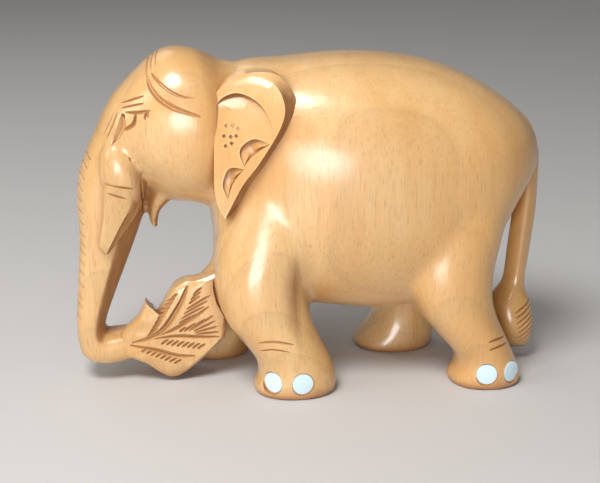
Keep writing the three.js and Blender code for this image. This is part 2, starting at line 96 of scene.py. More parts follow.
def along(column, t):  # a smooth curve through one column of a form's stations, t from 0 to 1
    place = (len(column) - 1) * t
    i = min(int(place), len(column) - 2)
    w = place - i
    a, b, c, d = (column[min(max(n, 0), len(column) - 1)] for n in (i - 1, i, i + 1, i + 2))
    startSlope, endSlope = (c - a) / 2, (d - b) / 2
    cubic = 2 * b - 2 * c + startSlope + endSlope
    square = -3 * b + 3 * c - 2 * startSlope - endSlope
    return ((cubic * w + square) * w + startSlope) * w + b


def tube(name, rings):  # a closed tube through rings of points, each with the same number of points
    sides = len(rings[0])
    bpy.ops.object.select_all(action="DESELECT")
    bpy.ops.mesh.primitive_circle_add(vertices=sides, radius=1, fill_type="NGON")
    piece = bpy.context.object
    piece.name = name
    bpy.ops.object.mode_set(mode="EDIT")
    for ring in rings[1:]:
        bpy.ops.mesh.extrude_region_move(TRANSFORM_OT_translate={"value": (0, 0, 1)})
    bpy.ops.object.mode_set(mode="OBJECT")
    for vertex in piece.data.vertices:
        turn = math.atan2(vertex.co.y, vertex.co.x) / (2 * math.pi) - 0.25
        vertex.co = rings[round(vertex.co.z)][round(turn * sides) % sides] * mm
    bpy.ops.object.mode_set(mode="EDIT")
    bpy.ops.mesh.select_all(action="SELECT")
    bpy.ops.mesh.quads_convert_to_tris()
    bpy.ops.mesh.normals_make_consistent(inside=False)
    bpy.ops.object.mode_set(mode="OBJECT")
    return piece


def lofted(name, form, side=1):  # a rounded box section that follows a form's stations
    sides, count = form.get("sides", 40), form["rings"]
    rings = []
    for i in range(count):
        t = i / (count - 1)
        at = {key: along(column, t) for key, column in form.items() if isinstance(column, tuple)}
        if "x1" in at:  # bends in the middle plane, from a point on one edge to a point on the other
            start, end = Vector((at["x1"], 0, at["z1"])), Vector((at["x2"], 0, at["z2"]))
        elif "x" in at:
            start, end = Vector((at["x"], 0, at["bottom"])), Vector((at["x"], 0, at["top"]))
        else:
            out = side * at["out"]
            start, end = Vector((at["front"], out, at["z"])), Vector((at["back"], out, at["z"]))
        centre, reach = (start + end) / 2, (end - start) / 2
        power, pinch = at.get("power", form.get("square", 2.2)), at.get("pinch", 0)
        ring = []
        for s in range(sides):
            c, n = math.cos(2 * math.pi * s / sides), math.sin(2 * math.pi * s / sides)
            a = math.copysign(abs(c) ** (2 / power), c)
            b = math.copysign(abs(n) ** (2 / power), n) * (1 - pinch * max(0, (a - 0.35) / 0.65))
            ring.append(centre + reach * a + yAxis * (b * at["half"]))
        rings.append(ring)
    return tube(name, rings)


def outline(rows, steps):  # points round a closed outline; a row that ends in True is a sharp corner
    corners = [i for i, row in enumerate(rows) if row[-1] is True]
    points = []
    for n, first in enumerate(corners):
        last = corners[n + 1] if n + 1 < len(corners) else corners[0] + len(rows)
        stretch = [rows[i % len(rows)] for i in range(first, last + 1)]
        count = (last - first) * steps
        for i in range(count):
            points.append([along([row[k] for row in stretch], i / count) for k in range(len(rows[0]) - 1)])
    return points


def outwards(points):  # the way out of a closed outline at each of its points, in X and Z
    area = sum(p[0] * q[1] - q[0] * p[1] for p, q in zip(points, points[1:] + points[:1]))
    ways = []
    for before, after in zip(points[-1:] + points[:-1], points[1:] + points[:1]):
        way = Vector((before[1] - after[1], after[0] - before[0])).normalized()
        ways.append(-way if area > 0 else way)
    return ways


slab = {"leastWall": 1, "bendOut": 0.4, "bendDown": 0.5, "faceRings": (0.85, 0.65, 0.4, 0.15)}


def raised(name, form, faceOut, side):  # a slab that stands off the body on a flared wall
    points = outline(form["rim"], form["steps"])
    ways = outwards(points)
    middle = Vector((sum(p[0] for p in points), sum(p[1] for p in points))) / len(points)
    rings = [[] for level in range(4 + len(slab["faceRings"]))]
    for (x, z, flare), way in zip(points, ways):
        rim = Vector((x, z))
        out = faceOut(x, z)
        wall = max(flare, slab["leastWall"])
        spots = [(rim + way * flare, form["root"]), (rim + way * flare, out - wall)]
        spots.append((rim + way * flare * slab["bendOut"], out - wall * slab["bendDown"]))
        spots.append((rim, out))
        for share in slab["faceRings"]:
            spot = middle + (rim - middle) * share
            spots.append((spot, faceOut(spot.x, spot.y)))
        for ring, (spot, reach) in zip(rings, spots):
            ring.append(Vector((spot.x, side * reach, spot.y)))
    return tube(name, rings)


# The body and the forms that flow into it

body = {
    "x": (-32, -30.2, -21, -8, 8, 22, 36, 48, 58, 65.5, 71, 73.6),
    "top": (88, 96.4, 101.2, 102, 103.2, 102.8, 100.6, 96.4, 90.8, 85, 78, 72),
    "bottom": (62, 44, 29, 25, 22.6, 21.4, 23.6, 31, 42, 54, 62, 66),
    "half": (8, 15, 21, 26.4, 29.6, 30.6, 30, 27.8, 23.8, 17.6, 10, 4),
    "square": 2.45, "rings": 56, "sides": 64,
}
head = {
    "x": (-10, -20, -28, -32, -36, -42, -47, -52, -57, -62, -66),
    "top": (92, 99.4, 101.6, 103.4, 105.1, 106, 104.7, 101, 96, 90.4, 83),
    "bottom": (66, 64, 60, 58, 57.8, 58.2, 60, 62, 64, 67, 72),
    "half": (13, 14, 17.6, 19.2, 19.6, 18.9, 17.6, 16, 14.2, 11.6, 7),
    "rings": 44, "sides": 56,
}
trunk = {
    "x1": (-57, -64.6, -71.2, -73.2, -73, -74.1, -74.97, -73.4, -66.5, -55),
    "z1": (94, 84.6, 71, 60, 46, 31, 18, 8.4, 5, 7),
    "x2": (-44, -49, -50, -53, -57.2, -62.4, -65.6, -65.4, -62.2, -55.5),
    "z2": (76, 67, 61.4, 53, 41.7, 28.5, 19.5, 16.3, 15.9, 16.6),
    "half": (11, 11, 10.4, 9.8, 9, 8.3, 8, 8, 7.8, 7),
    "power": (2.4, 2.4, 2.8, 3, 3, 3, 3, 2.8, 2.6, 2.6),
    "pinch": (0, 0, 0.4, 0.62, 0.62, 0.62, 0.6, 0.4, 0, 0),
    "rings": 90, "sides": 72,
}
jaw = {
    "x1": (-46, -51.2, -51.4, -50.8), "z1": (70, 62, 55, 50.4),
    "x2": (-37, -45, -47.8, -48.6), "z2": (66, 57.6, 54.2, 49.2),
    "half": (10, 7.4, 5.4, 3.4), "rings": 24,
}
chest = {
    "x": (-44, -38, -33, -30.6, -29.6, -22), "top": (72, 76, 80, 82, 84, 84),
    "bottom": (57.8, 57.4, 56, 52, 40, 30), "half": (8, 12, 15, 15, 16, 20), "rings": 24,
}
legs = {
    "nearFront": {
        "z": (70, 50, 36, 24, 16.5, 11, 6, 2, 0),
        "front": (-25, -30.4, -31.8, -29.4, -24, -20, -19, -20.6, -19.9),
        "back": (4, 3, -3.4, -2.2, 0.6, 3.4, 5.2, 5.6, 4.9),
        "out": (8, 12, 15, 17, 18.2, 18.8, 19, 19, 19),
        "half": (14, 14.6, 13.8, 12.8, 12, 11.4, 11.6, 11.8, 11.4), "side": -1,
    },
    "farFront": {
        "z": (70, 50, 36, 24, 16.5, 11, 6, 2, 0),
        "front": (-22, -27.4, -29, -29.4, -31, -34.8, -38.6, -41.6, -41),
        "back": (4, 2, -4, -8.4, -11.4, -15, -17, -17.6, -18.2),
        "out": (8, 12, 15, 17, 18.4, 19.2, 19.6, 19.6, 19.6),
        "half": (14, 14.6, 13.8, 12.8, 11.6, 10.8, 11, 11.2, 10.8), "side": 1,
    },
    "nearHind": {
        "z": (76, 54, 36, 25, 15, 10, 6, 2, 0),
        "front": (40, 31, 27, 31, 39.2, 43.4, 44.3, 42, 42.6),
        "back": (62, 60.4, 56, 56, 60, 62.4, 64, 65.2, 64.6),
        "out": (8, 13.4, 17, 18.4, 19, 19, 19, 19, 19),
        "half": (12, 14.6, 13.4, 12.4, 11.4, 11.2, 11.6, 11.8, 11.4), "side": -1,
    },
    "farHind": {
        "z": (76, 54, 36, 25, 15, 10, 6, 2, 0),
        "front": (40, 30, 26, 25.4, 25.6, 24, 21.4, 18, 18.8),
        "back": (62, 59, 54, 49.6, 46.8, 45.6, 45.4, 45.2, 44.6),
        "out": (8, 13.4, 17, 18.4, 19, 19, 19, 19, 19),
        "half": (12, 14.6, 13.4, 12.4, 11.4, 11.2, 11.6, 11.8, 11.4), "side": 1,
    },
}
web = {  # from the chest down to the leaf
    "x1": (-31, -31.2, -32.4, -35.6), "z1": (47, 40, 36, 32.6),
    "x2": (-24, -24, -24, -24), "z2": (47, 40, 34, 29),
    "half": (8, 7, 6.6, 6.6), "rings": 16,
}
tail = {
    "x1": (58, 63.4, 66.3, 67, 66.8, 65.6, 64.4, 60.4, 59.5, 61, 65),
    "z1": (82, 76, 70, 60, 50, 38, 27, 20.4, 13, 7.5, 4.2),
    "x2": (64, 71, 74.6, 74.9, 74.6, 73.2, 72, 73.8, 74.85, 74.4, 73.2),
    "z2": (86.6, 80, 71, 60.5, 50, 37, 26, 19.6, 12.6, 6.5, 3.8),
    "half": (3, 3.6, 4, 4.2, 4.2, 4.2, 4.6, 7.4, 9, 7, 3),
    "power": (2.4, 2.2, 1.6, 1.5, 1.5, 1.5, 1.6, 2, 2, 2, 2),
    "rings": 60, "sides": 32,
}
tuskRoot = {
    "x": -59.2, "out": 10.4, "z": 68.6, "halves": (6.8, 4.9, 11), "turn": -0.22, "levels": 16, "sides": 24,
}
blend = {  # each pair of places is where a smoothing starts and where it is full
    "voxel": 0.95, "smoothing": 2, "bodySmoothing": 6, "legSmoothing": 36, "legFront": -30,
    "aboveFoot": (14, 26), "underBack": (74, 62), "behindTrunk": (-54, -48), "overTrunk": (62, 72),
}


def swelling(side):  # a tusk grows out of a rounded swelling of the cheek
    place = Vector((tuskRoot["x"], side * tuskRoot["out"], tuskRoot["z"]))
    a, b, c = tuskRoot["halves"]
    turn, levels, sides = tuskRoot["turn"], tuskRoot["levels"], tuskRoot["sides"]
    rings = []
    for i in range(1, levels):
        polar = math.pi * i / levels
        ring = []
        for s in range(sides):
            angle = 2 * math.pi * s / sides
            x, y = a * math.cos(angle) * math.sin(polar), b * math.sin(angle) * math.sin(polar)
            z = c * math.cos(polar)
            x, z = x * math.cos(turn) + z * math.sin(turn), z * math.cos(turn) - x * math.sin(turn)
            ring.append(place + Vector((x, y, z)))
        rings.append(ring)
    return tube("swelling", rings)


def risen(value, span):  # 0 up to the span's start, 1 from its end on
    start, end = span
    return min(1, max(0, (value - start) / (end - start)))


def smoothSkin():
    pieces = [lofted("body", body), lofted("head", head), lofted("trunk", trunk), lofted("jaw", jaw)]
    pieces += [lofted("chest", chest), lofted("web", web)]
    pieces += [lofted(name, {"rings": 36, **leg}, leg["side"]) for name, leg in legs.items()]
    pieces += [swelling(-1), swelling(1)]
    skin = joined(pieces, "elephant")
    skin.data.remesh_voxel_size = blend["voxel"] * mm
    bpy.ops.object.voxel_remesh()
    applied(skin, "SMOOTH", factor=0.5, iterations=blend["smoothing"])
    legTops, notTrunk = skin.vertex_groups.new(name="legTops"), skin.vertex_groups.new(name="notTrunk")
    for vertex in skin.data.vertices:
        x, y, z = vertex.co / mm
        onLeg = min(risen(z, blend["aboveFoot"]), risen(z, blend["underBack"]))
        if x > blend["legFront"] and onLeg > 0:
            legTops.add([vertex.index], onLeg, "REPLACE")
        offTrunk = max(risen(x, blend["behindTrunk"]), risen(z, blend["overTrunk"]))
        if offTrunk > 0:
            notTrunk.add([vertex.index], offTrunk, "REPLACE")
    applied(skin, "SMOOTH", factor=0.5, iterations=blend["bodySmoothing"], vertex_group="notTrunk")
    applied(skin, "SMOOTH", factor=0.5, iterations=blend["legSmoothing"], vertex_group="legTops")
    return skin


# The forms that stand off the skin with a crisp edge

ear = {
    "rim": (  # X, Z, how far the wall flares, and True at a sharp corner
        (-28.9, 56.2, 0, True), (-31.6, 62.7, 0, False), (-31.8, 76, 0, False), (-31.4, 93, 0, True),
        (-26.6, 97.4, 0.4, False), (-20, 98.8, 1, False), (-13.8, 97, 2.6, False), (-11.1, 91, 4.2, False),
        (-12.7, 84.3, 4.8, False), (-19, 73.6, 4.4, False), (-23.6, 67, 3.4, False),
    ),
    "steps": 6, "root": 6, "front": -32.6, "frontOut": 19.5, "standOff": 0.42,
    "lean": {-1: (0.0085, 70, 2), 1: (0.0016, 78, 3)},  # the right ear leans in more, under the neck's line
}
tusk = {
    "rim": (
        (-64.8, 44, 0.6, True), (-66.8, 46.4, 0.4, True), (-65.2, 55, 0.4, False), (-64.3, 63, 0.6, False),
        (-64, 66.5, 0.4, True), (-56.6, 65.3, 0.3, True), (-53.4, 66.4, 0.5, True), (-55.4, 61.6, 2.6, False),
        (-59.6, 54.4, 2.8, False),
    ),
    "steps": 5, "root": 4, "tip": 44, "tipOut": 11.4, "standOff": 0.17,
    "rearRound": (-58, 0.16), "frontRound": (-61, 0.12), "frontFade": (46, 20),
}
leaf = {
    "rim": (
        (-61.4, 15.6, True), (-58.6, 18.4, False), (-56, 20.8, False), (-54.6, 23.4, False),
        (-53.2, 26.5, True), (-49.6, 21.8, True), (-46.9, 26.6, False), (-44.2, 31, False),
        (-40.4, 33.4, False), (-36.4, 33.8, False), (-32.4, 35.2, False), (-29, 36.6, True),
        (-26, 30, True), (-28.1, 13.9, True), (-34.4, 7.8, False), (-41, 2.6, False),
        (-45.3, 1, False), (-49.4, 2.8, False), (-54, 6.2, False), (-61, 8.8, True),
    ),
    "steps": 4, "middle": (-43, 17), "taper": (-55, 0.035), "lowest": 1,
    "shells": (  # Y, size and drop of each layer
        (-9.2, 0.6, 0), (-9, 0.9, 0), (-8.2, 0.97, 0), (-5, 1, 0), (2, 0.97, 1), (7, 0.86, 3), (8.4, 0.5, 3),
    ),
}


def earFace(side):  # the ear's face stands off the neck towards its rear edge and leans in at the top
    lean, start, power = ear["lean"][side]

    def out(x, z):
        return ear["frontOut"] + ear["standOff"] * (x - ear["front"]) - lean * max(0, z - start) ** power
    return out


def tuskOut(x, z):  # the tusk's face rises towards its root and is rounded off at the rear and the front
    (rearX, rear), (frontX, front), (fadeZ, fade) = tusk["rearRound"], tusk["frontRound"], tusk["frontFade"]
    rounding = rear * max(0, x - rearX) ** 2 + front * max(0, frontX - x) ** 2 * max(0, z - fadeZ) / fade
    return tusk["tipOut"] + tusk["standOff"] * (z - tusk["tip"]) - rounding


earOuts = {-1: earFace(-1), 1: earFace(1)}


def leafSlab():
    rim, (middleX, middleZ) = outline(leaf["rim"], leaf["steps"]), leaf["middle"]
    start, slope = leaf["taper"]
    rings = []
    for y, size, drop in leaf["shells"]:
        ring = []
        for x, z in rim:
            x, z = middleX + (x - middleX) * size, middleZ + (z - middleZ) * size - drop
            ring.append(Vector((x, y * (1 - slope * max(0, start - x)), max(z, leaf["lowest"]))))
        rings.append(ring)
    return tube("leaf", rings)


def uncarvedFigure():
    figure = smoothSkin()
    print("skin", len(figure.data.polygons), "faces")
    crisp = [lofted("tail", tail), leafSlab()]
    for side in (-1, 1):
        crisp += [raised("ear", ear, earOuts[side], side), raised("tusk", tusk, tuskOut, side)]
    for form in crisp:
        combined(figure, form, "UNION")
    print("uncarved", len(figure.data.polygons), "faces")
    return figure


figure = uncarvedFigure()
skinTree = BVHTree.FromObject(figure, bpy.context.evaluated_depsgraph_get())


# Cuts: V gouges drawn over the surface, and scoops with an outline of their own

def touch(target, way):  # where a ray towards a target meets the figure, and which way it faces there
    point, out, index, distance = skinTree.ray_cast((Vector(target) - way * 200) * mm, way)
    return (point / mm, out) if point else None


chisel = {"lift": 0.8, "endDepth": 0.04, "fullness": 0.6, "floor": 0.2, "spacing": 1.3, "fewest": 5}
hollow = {"steps": 6, "lift": 2.5, "middleDepth": 1.1}


def gouge(spots, width, depth):  # a V groove through the spots, shallow at both ends
    lift, ends = chisel["lift"], chisel["endDepth"]
    spots = [spot for spot in spots if spot]
    facing = sum((out for point, out in spots), Vector()).normalized()
    rings = []
    for i, (point, out) in enumerate(spots):
        bite = math.sin(math.pi * (ends + (1 - 2 * ends) * i / (len(spots) - 1))) ** chisel["fullness"]
        onward = spots[min(i + 1, len(spots) - 1)][0] - spots[max(i - 1, 0)][0]
        across = onward.cross(facing).normalized() * (width * bite / 2)
        spread = 1 + lift / (depth * bite)
        top, floor = point + facing * lift, point - facing * (depth * bite)
        flat = across * chisel["floor"]
        rings.append([top + across * spread, top - across * spread, floor - flat, floor + flat])
    return tube("cut", rings)


def strokeAt(places, width, depth, side):
    xs, zs = [p[0] for p in places], [p[1] for p in places]
    length = sum(math.dist(p, q) for p, q in zip(places, places[1:]))
    count = max(chisel["fewest"], round(length / chisel["spacing"]))
    targets = [(along(xs, i / count), 0, along(zs, i / count)) for i in range(count + 1)]
    return gouge([touch(target, -side * yAxis) for target in targets], width, depth)


def scoop(rows, side, outAt, steps=hollow["steps"]):  # each row is X, Z, depth, and True at a sharp corner
    edge = outline(rows, steps)
    middle = [sum(p[k] for p in edge) / len(edge) for k in range(3)]
    rings = [[], [], []]
    for x, z, deep in edge:
        rings[0].append(Vector((x, side * (outAt(x, z) + hollow["lift"]), z)))
        rings[1].append(Vector((x, side * (outAt(x, z) - deep), z)))
        innerX, innerZ = (x + middle[0]) / 2, (z + middle[1]) / 2
        innerOut = outAt(innerX, innerZ) - (deep + middle[2]) / 2 * hollow["middleDepth"]
        rings[2].append(Vector((innerX, side * innerOut, innerZ)))
    return tube("cut", rings)


strokes = (  # width, depth, places in X and Z
    (1.9, 1.1, ((-50.8, 98.4), (-50, 95.5), (-47.5, 92.4), (-43.9, 90.1), (-40.1, 88.7), (-35.6, 87.3))),
    (1, 0.7, ((-49.4, 99.4), (-48.2, 97.8), (-44.7, 94.9), (-40.9, 93.2), (-37.2, 92.6))),
    (0.9, 0.7, ((-58.6, 90.5), (-51.9, 93.1))),
    (0.9, 0.7, ((-58.6, 89.1), (-52, 91))),
    (1.1, 0.9, ((-57.6, 88.1), (-54, 88.2), (-50.2, 89))),
    (1.5, 0.9, ((-51, 89), (-51.8, 86.2))),
    (2.6, 1.3, ((-58.6, 87), (-58.9, 83.6), (-61.2, 79.2))),
    (1.1, 0.9, ((-59, 82.6), (-60.2, 80.6), (-62, 78))),
    (1.5, 1.1, ((-54.5, 87.8), (-55.4, 84.6), (-59, 82.6))),
    (1.2, 1.3, ((-58.6, 87.6), (-57.9, 86.2))),
    (1.3, 1.8, ((-53.6, 67), (-53.2, 62), (-52.8, 54.5))),
    (0.5, 0.8, ((-53, 64), (-55.2, 58), (-58.9, 49.6))),
    (0.7, 0.5, ((-60.8, 88), (-64.2, 80.9))),
    (0.7, 0.5, ((-59.9, 87.7), (-63.4, 79.8))),
    (0.6, 0.4, ((-57, 74.7), (-56.4, 73.2))),
    (1.1, 0.8, ((-64.6, 66.4), (-55.9, 64.9))),
    (0.9, 0.6, ((-63.8, 63.7), (-58.1, 61.8))),
    (2.2, 1.3, ((-57.8, 13.4), (-52.1, 15.2), (-47.7, 17.8), (-44, 23.1), (-41.5, 27.7), (-40, 32))),
    (1.6, 1.1, ((-50, 15.3), (-44, 17.9), (-38.5, 21), (-33.4, 24.8))),
    (1.3, 1, ((-51, 14.8), (-43.9, 15.4), (-36.9, 14.8), (-30.2, 14.5))),
    (1.6, 1.1, ((-58.6, 12.6), (-51, 11.2), (-44, 8.9), (-38, 8.4))),
)
footLines = {
    "width": 0.9, "depth": 0.6,
    "rightAhead": (21.6, 20.6),  # how far each right foot stands ahead of the left one, front and hind
    "lines": (  # 0 on a front foot or 1 on a hind foot, and places in X and Z
        (0, ((-20.1, 18.7), (-15, 19.3), (-9.1, 18.1))),
        (0, ((-19.3, 15.9), (-15.4, 16.7), (-10.3, 15.8))),
        (1, ((51.9, 15.9), (55, 16.2), (58.5, 15.9))),
        (1, ((52.2, 13.3), (55.6, 13.9), (59.2, 13.9))),
    ),
}
leafHatch = {
    "width": 1.05, "depth": 0.8,
    "rows": (  # first start, step to the next, first stroke, its change to the next, how many
        ((-52.9, 15.8), (0.8, 1.38), (3.3, 2.6), (0, 0), 9),
        ((-43.1, 19.6), (0.85, 1.5), (7.4, 3.5), (0.1, 0.3), 4),
        ((-39.8, 25.8), (0.7, 1.4), (3.7, 2.6), (-0.4, 0), 3),
        ((-42.9, 16.7), (1.5, 0.1), (2.2, 1.6), (1.5, 1.1), 3),
        ((-38.6, 17.2), (0.3, -0.5), (6.6, 4.6), (0.3, -1.4), 4),
        ((-48.8, 12.8), (1.65, -0.3), (2.5, 1.7), (0, 0), 8),
        ((-55, 10.5), (1.45, -0.62), (2.5, 1.3), (0, 0), 8),
    ),
}
leafSeam = {  # a groove on the leaf where the leg comes down in front of it
    "spots": 14, "top": 33.5, "apart": 1.25, "from": -38.0, "to": -27, "step": 0.3, "ahead": 0.6,
    "legOut": 10.4, "width": 1.1, "depth": 1.6,
}
tailHairs = {
    "count": 9, "top": 21, "apart": 1.75, "front": 66.8, "frontShift": 0.25, "back": 74.4, "backShift": -0.02,
    "drop": 3.4, "width": 0.9, "depth": 0.6,
}
rosette = {
    "dot": 0.65, "steps": 3,
    "places": (
        (-28, 84.5), (-26.1, 84.6), (-24.6, 83.9), (-28.8, 81.5), (-26.8, 81.4), (-25.2, 81.7),
        (-28.4, 78.6), (-26.6, 79.5),
    ),
}
earHollow = (
    (-30.6, 90.4, 0.4, True), (-28.6, 92.6, 1.5, False), (-24.6, 94, 2.3, False), (-20.4, 92.8, 2.2, False),
    (-17.2, 90, 1.7, False), (-15.2, 86, 0.9, False), (-14.6, 81, 0.02, True), (-19.4, 80.6, 0.02, False),
    (-25, 81.6, 0.02, False), (-30.8, 84, 0.02, True),
)
upperMoon = (
    (-23.2, 72.8, 0.2, True), (-24.4, 76.5, 1, False), (-23.3, 79.2, 1.6, False), (-19.9, 81.1, 1.8, False),
    (-15.6, 79.8, 0.2, True), (-19, 77.4, 1.9, False), (-21.2, 75.4, 1.6, False),
)
lowerMoon = (
    (-28, 62.4, 0.2, True), (-29.4, 66.5, 1, False), (-28.2, 71, 1.6, False), (-26.2, 72.3, 1.7, False),
    (-23.2, 71.9, 0.2, True), (-25.4, 69, 1.8, False), (-27, 65.8, 1.4, False),
)
wrinkles = {
    "z": (74.4, 71.6, 68.2, 64.7, 61.2, 57.7, 53.9, 50, 46.8, 44.3, 41, 37.7, 33.7, 29.7, 27.2, 23.2),
    "reach": 7.4, "spots": 12, "droop": 0.03, "width": 1.5, "depth": 1.1, "shallower": 0.035,
}
capLines = {
    "spots": 12, "bow": 1.1,
    "lines": ((-50.9, 11, 1.1, 0.7), (-49.5, 9.6, 0.9, 0.5), (-48.1, 9, 0.7, 0.4)),  # X, reach, width, depth
}


def seamCut(side):
    seam, spots = leafSeam, []
    for i in range(seam["spots"]):
        x, z = seam["from"], seam["top"] - seam["apart"] * i
        while x < seam["to"] and abs(touch((x + seam["ahead"], 0, z), -side * yAxis)[0].y) < seam["legOut"]:
            x += seam["step"]
        spots.append(touch((x, 0, z), -side * yAxis))
    return gouge(spots, seam["width"], seam["depth"])


def sideCuts(side):
    cuts = [strokeAt(places, width, depth, side) for width, depth, places in strokes]
    for (x, z), (stepX, stepZ), (dx, dz), (turnX, turnZ), count in leafHatch["rows"]:
        for i in range(count):
            start = (x + stepX * i, z + stepZ * i)
            end = (start[0] + dx + turnX * i, start[1] + dz + turnZ * i)
            cuts.append(strokeAt((start, end), leafHatch["width"], leafHatch["depth"], side))
    for pair, places in footLines["lines"]:
        ahead = footLines["rightAhead"][pair] if side > 0 else 0
        places = [(x - ahead, z) for x, z in places]
        cuts.append(strokeAt(places, footLines["width"], footLines["depth"], side))
    dot = rosette["dot"]
    for x, z in rosette["places"]:
        corners = (x - dot, z, dot, True), (x + dot, z, dot, True)
        rounds = (x, z + dot, dot, False), (x, z - dot, dot, False)
        rows = (corners[0], rounds[0], corners[1], rounds[1])
        cuts.append(scoop(rows, side, earOuts[side], rosette["steps"]))
    cuts += [scoop(rows, side, earOuts[side]) for rows in (earHollow, upperMoon, lowerMoon)]
    cuts.append(seamCut(side))
    hairs = tailHairs
    for i in range(hairs["count"]):
        z = hairs["top"] - hairs["apart"] * i
        front, back = hairs["front"] + hairs["frontShift"] * i, hairs["back"] + hairs["backShift"] * i
        cuts.append(strokeAt(((front, z - hairs["drop"]), (back, z)), hairs["width"], hairs["depth"], side))
    return cuts


def frontCuts():
    cuts = []
    reach, count = wrinkles["reach"], wrinkles["spots"]
    outs = [-reach + 2 * reach * n / count for n in range(count + 1)]
    for i, z in enumerate(wrinkles["z"]):
        spots = [touch((0, out, z - wrinkles["droop"] * out ** 2), xAxis) for out in outs]
        cuts.append(gouge(spots, wrinkles["width"], wrinkles["depth"] - wrinkles["shallower"] * i))
    count, bow = capLines["spots"], capLines["bow"]
    for x, reach, width, depth in capLines["lines"]:
        spots = []
        for n in range(-count, count + 1):
            spots.append(touch((x + bow * (1 - abs(n) / count) ** 2, reach * n / count, 0), -zAxis))
        cuts.append(gouge(spots, width, depth))
    return cuts


# Toenails: a disc let into a small flat on the foot

toenail = {
    "radius": 3.26, "thick": 1.6, "sides": 56, "proud": 0.15, "flatReach": 0.5, "gap": 0.12, "opening": 7,
    "faceInset": 0.04, "round": 0.18, "crease": 50,
}
toenailTurns = {
    "left_front_toenail_1": -0.75, "left_front_toenail_2": 0.1, "left_hind_toenail_1": -0.16,
    "left_hind_toenail_2": 0.62, "right_front_toenail_1": -0.75, "right_front_toenail_2": 0.1,
    "right_hind_toenail_1": -0.16, "right_hind_toenail_2": 0.62,
}


def disc(name, centre, way, radius, back, front):
    around, sides = way.cross(zAxis).normalized(), toenail["sides"]
    angles = [2 * math.pi * s / sides for s in range(sides)]
    spokes = [around * math.cos(angle) + zAxis * math.sin(angle) for angle in angles]
    return tube(name, [[centre + way * out + spoke * radius for spoke in spokes] for out in (back, front)])


def toenailPlace(name):
    low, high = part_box(name)
    side = -1 if low.y < 0 else 1
    turn = toenailTurns[name]
    return (low + high) / 2 / mm, Vector((math.sin(turn), side * math.cos(turn), 0))


def toenailCuts():
    radius, gap, opening = toenail["radius"], toenail["gap"], toenail["opening"]
    half = toenail["thick"] / 2
    cuts = []
    for name in toenailTurns:
        centre, way = toenailPlace(name)
        cuts.append(disc("cut", centre, way, radius + toenail["flatReach"], half - toenail["proud"], opening))
        cuts.append(disc("cut", centre, way, radius + gap, -half - gap, opening))
    return cuts


ground = {"reachX": 99, "reachY": 60, "bottom": -20}  # what the soles are sawn flat with


def groundCut():
    x, y = ground["reachX"], ground["reachY"]
    corners = ((-x, -y), (x, -y), (x, y), (-x, y))
    return tube("ground", [[Vector((*corner, z)) for corner in corners] for z in (ground["bottom"], 0)])


carvingCrease = 38  # edges sharper than this many degrees stay crisp
cuts = sideCuts(-1) + sideCuts(1) + frontCuts() + toenailCuts() + [groundCut()]
print("cuts", len(cuts))
cutter = cuts[0]
for cut in cuts[1:]:
    combined(cutter, cut, "UNION")
combined(figure, cutter, "DIFFERENCE")
print("carved", sum(len(face.vertices) - 2 for face in figure.data.polygons), "triangles")
figure.name = "carved_elephant_skin"
pick(figure)
bpy.ops.object.shade_smooth_by_angle(angle=math.radians(carvingCrease))

toenails = []
for name in toenailTurns:
    centre, way = toenailPlace(name)
    half = toenail["thick"] / 2
    nail = disc(name + "_disc", centre, way, toenail["radius"], -half, half - toenail["faceInset"])
    applied(nail, "BEVEL", width=toenail["round"] * mm, segments=3, limit_method="ANGLE")
    pick(nail)
    bpy.ops.object.shade_smooth_by_angle(angle=math.radians(toenail["crease"]))
    toenails.append((name, nail))
print("toenails", len(toenails))


# Materials

class Wire:  # a socket whose value can be reckoned with
    def __init__(self, surface, socket):
        self.surface = surface
        self.socket = socket

    def math(self, operation, first, second):
        return self.surface.node("ShaderNodeMath", {"operation": operation}, {0: first, 1: second})

    def __add__(self, other):
        return self.math("ADD", self, other)

    def __sub__(self, other):
        return self.math("SUBTRACT", self, other)

    def __mul__(self, other):
        return self.math("MULTIPLY", self, other)

    def __rsub__(self, other):
        return self.math("SUBTRACT", other, self)

    __radd__ = __add__
    __rmul__ = __mul__


